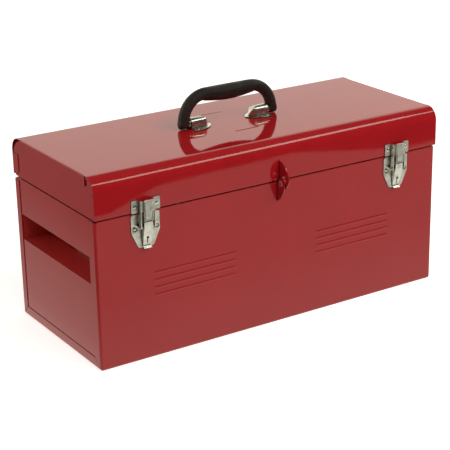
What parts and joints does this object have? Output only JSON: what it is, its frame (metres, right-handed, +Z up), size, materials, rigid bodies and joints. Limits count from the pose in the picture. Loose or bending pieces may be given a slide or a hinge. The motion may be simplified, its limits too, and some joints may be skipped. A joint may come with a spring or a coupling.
{
  "type": "toolbox with tray",
  "caption": "Sheet-steel toolbox with a hinged rounded lid, draw latches, padlock hasp, fold-down carry handle, end hand-holds and a lift-out tray.",
  "frame": {"origin": "on the floor under the middle of the body, halfway along its length and depth", "axes": "+X along the box towards the user's right when facing the latches, -Y out of the latch front, +Z up"},
  "size_m": [0.51, 0.2421, 0.2916],
  "materials": {
    "red_enamel": "gloss",
    "tray_enamel": "gloss",
    "bright_steel": "bright nickel plate",
    "hinge_steel": "gloss",
    "grip_polymer": "fine moulded texture"
  },
  "bodies": {
    "case": {"body_wrap": "red_enamel", "left_end_panel": "red_enamel", "right_end_panel": "red_enamel", "left_grip_pocket": "red_enamel", "right_grip_pocket": "red_enamel", "hinge_leaf_lower": "hinge_steel", "hinge_pin": "hinge_steel", "hasp_eye_lower": "red_enamel", "left_latch_base": "bright_steel", "left_latch_base_rivets": "bright_steel", "right_latch_base": "bright_steel", "right_latch_base_rivets": "bright_steel"},
    "lid": {"lid_wrap": "red_enamel", "left_lid_end": "red_enamel", "right_lid_end": "red_enamel", "hinge_leaf_upper": "hinge_steel", "hasp_eye_upper": "red_enamel", "left_latch_strike": "bright_steel", "left_latch_strike_rivets": "bright_steel", "right_latch_strike": "bright_steel", "right_latch_strike_rivets": "bright_steel", "left_handle_bracket": "bright_steel", "right_handle_bracket": "bright_steel", "bracket_rivets": "bright_steel"},
    "carry_handle": {"handle_core": "bright_steel", "handle_grip": "grip_polymer"},
    "left_lever": {"left_latch_lever": "bright_steel", "left_lever_pin": "bright_steel", "left_link_pins": "bright_steel"},
    "left_link": {"left_latch_link": "bright_steel"},
    "right_lever": {"right_latch_lever": "bright_steel", "right_lever_pin": "bright_steel", "right_link_pins": "bright_steel"},
    "right_link": {"right_latch_link": "bright_steel"},
    "tray": {"tray_pan": "tray_enamel", "tray_divider": "tray_enamel", "tray_handle": "bright_steel", "tray_handle_rivets": "bright_steel"}
  },
  "joints": [
    {"name": "lid_hinge", "type": "hinge", "parent": "case", "child": "lid", "pos_m": [0, 0.1099, 0.1895], "axis": [-1, 0, 0], "range_deg": [0, 105]},
    {"name": "handle_swing", "type": "hinge", "parent": "lid", "child": "carry_handle", "pos_m": [0, 0.001, 0.249], "axis": [1, 0, 0], "range_deg": [-80, 80]},
    {"name": "tray_lift", "type": "slide", "parent": "case", "child": "tray", "axis": [0, 0, 1], "range_m": [0, 0.06]},
    {"name": "left_lever_pivot", "type": "hinge", "parent": "case", "child": "left_lever", "pos_m": [-0.188, -0.1135, 0.1815], "axis": [-1, 0, 0], "range_deg": [0, 100]},
    {"name": "left_link_pivot", "type": "hinge", "parent": "left_lever", "child": "left_link", "pos_m": [-0.188, -0.1131, 0.1735], "axis": [-1, 0, 0], "range_deg": [-90, 0]},
    {"name": "right_lever_pivot", "type": "hinge", "parent": "case", "child": "right_lever", "pos_m": [0.188, -0.1135, 0.1815], "axis": [-1, 0, 0], "range_deg": [0, 100]},
    {"name": "right_link_pivot", "type": "hinge", "parent": "right_lever", "child": "right_link", "pos_m": [0.188, -0.1131, 0.1735], "axis": [-1, 0, 0], "range_deg": [-90, 0]}
  ],
  "couplings": [
    {"joint": "tray_lift", "follows": "lid_hinge", "m_per_rad": 0.0325},
    {"joint": "left_link_pivot", "follows": "left_lever_pivot", "ratio": -0.9},
    {"joint": "right_link_pivot", "follows": "right_lever_pivot", "ratio": -0.9}
  ]
}
